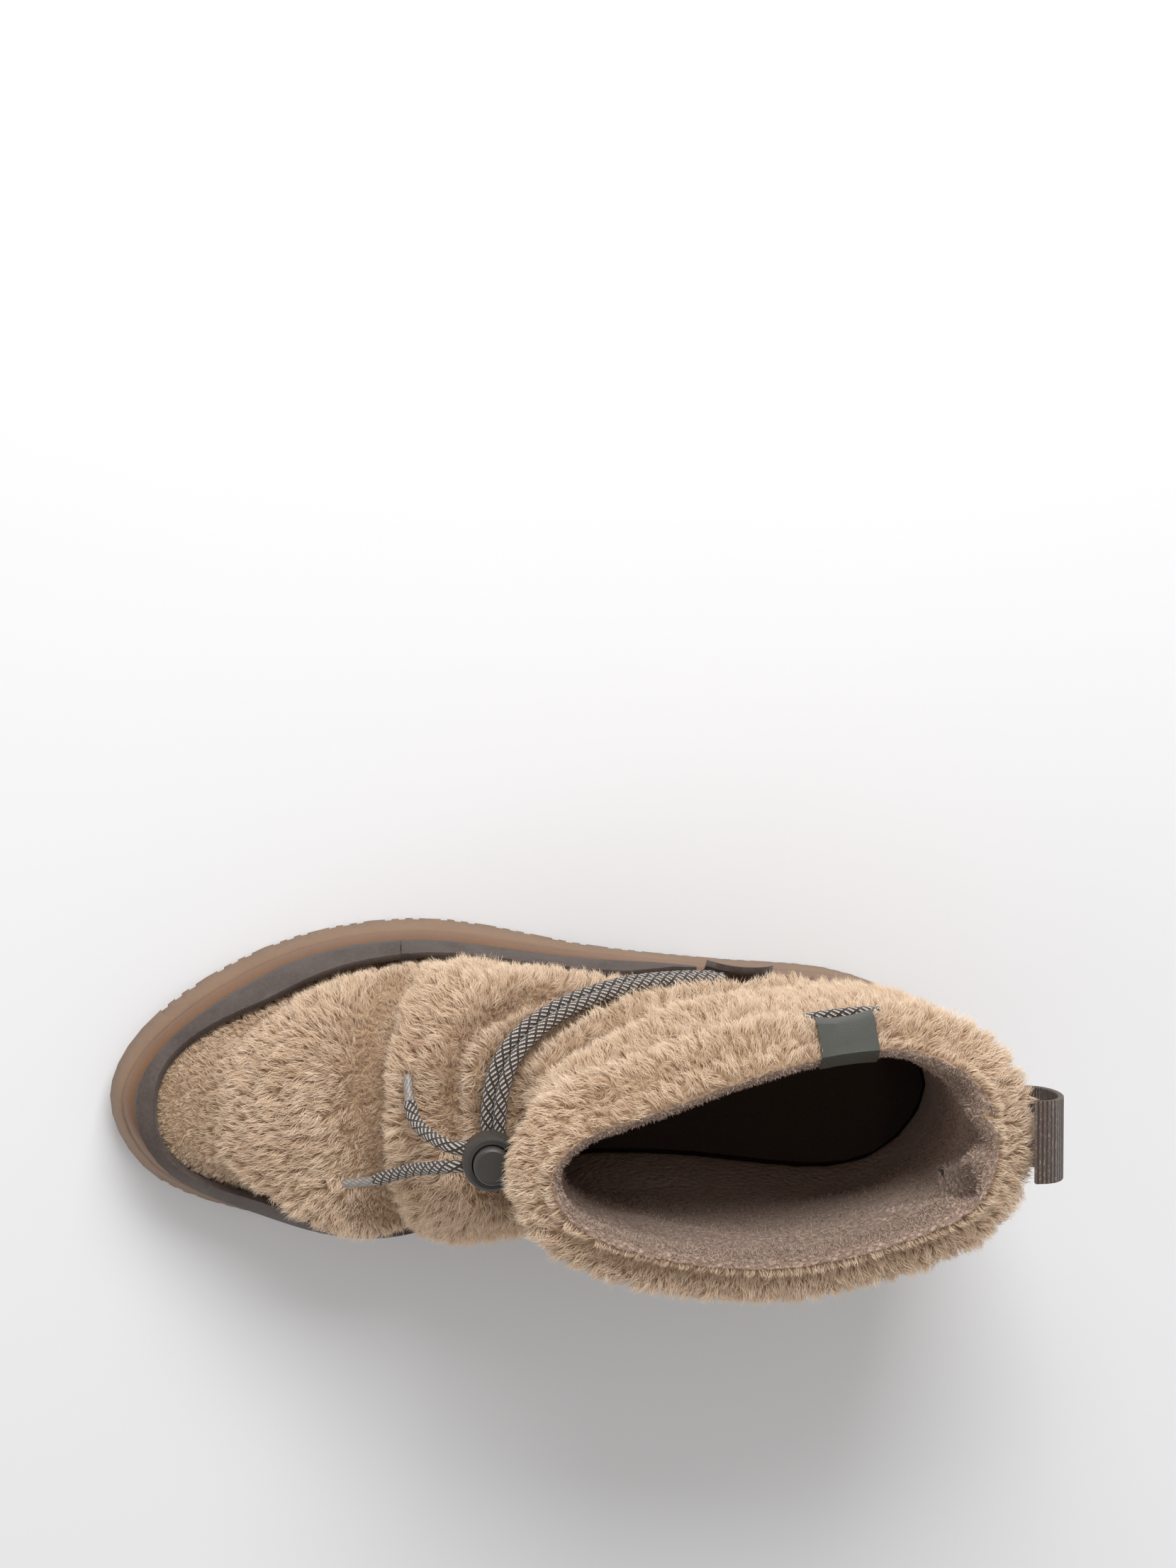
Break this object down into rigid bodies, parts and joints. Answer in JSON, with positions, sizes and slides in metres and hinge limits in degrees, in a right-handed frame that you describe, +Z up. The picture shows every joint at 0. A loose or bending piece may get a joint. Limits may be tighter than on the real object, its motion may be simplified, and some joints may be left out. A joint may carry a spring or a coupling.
{
  "type": "winter boot",
  "caption": "Pull-on ankle boot in quilted faux fur with suede mudguards, a drawcord with a push stopper, a collar loop, a heel pull and a notched rubber cup sole.",
  "frame": {"origin": "middle of the boot's length and width, on the floor under the sole", "axes": "+X from the heel to the toe, +Y towards the inner (medial) side of the right foot, +Z up"},
  "size_m": [0.293, 0.1046, 0.162],
  "materials": {
    "gum_rubber": "matte tread band, glossy ridge",
    "faux_fur": "long soft pile",
    "suede": "napped",
    "insole_fabric": "matte",
    "cord": "braided",
    "clear_tip": "clear shrink tube",
    "leather": "smooth",
    "webbing": "ribbed tape",
    "dark_plastic": "satin"
  },
  "bodies": {
    "boot": {"outsole": "gum_rubber", "upper": "faux_fur", "toe_rand": "suede", "side_rand_lateral": "suede", "side_rand_medial": "suede", "cord_keeper_lateral": "suede", "cord_keeper_medial": "suede", "insole": "insole_fabric", "drawcord_lower_run": "cord", "drawcord_upper_run": "cord", "collar_cord": "cord", "cord_stopper": "dark_plastic", "cord_end_upper": "cord", "cord_tip_upper": "clear_tip", "cord_end_lower": "cord", "cord_tip_lower": "clear_tip", "side_loop": "leather", "pull_loop": "webbing"},
    "button": {"stopper_button": "dark_plastic"}
  },
  "joints": [
    {"name": "button_press", "type": "slide", "parent": "boot", "child": "button", "axis": [0, 0, -1], "range_m": [0, 0.0035], "stiffness_N_per_m": 500, "springref_m": -0.004}
  ]
}
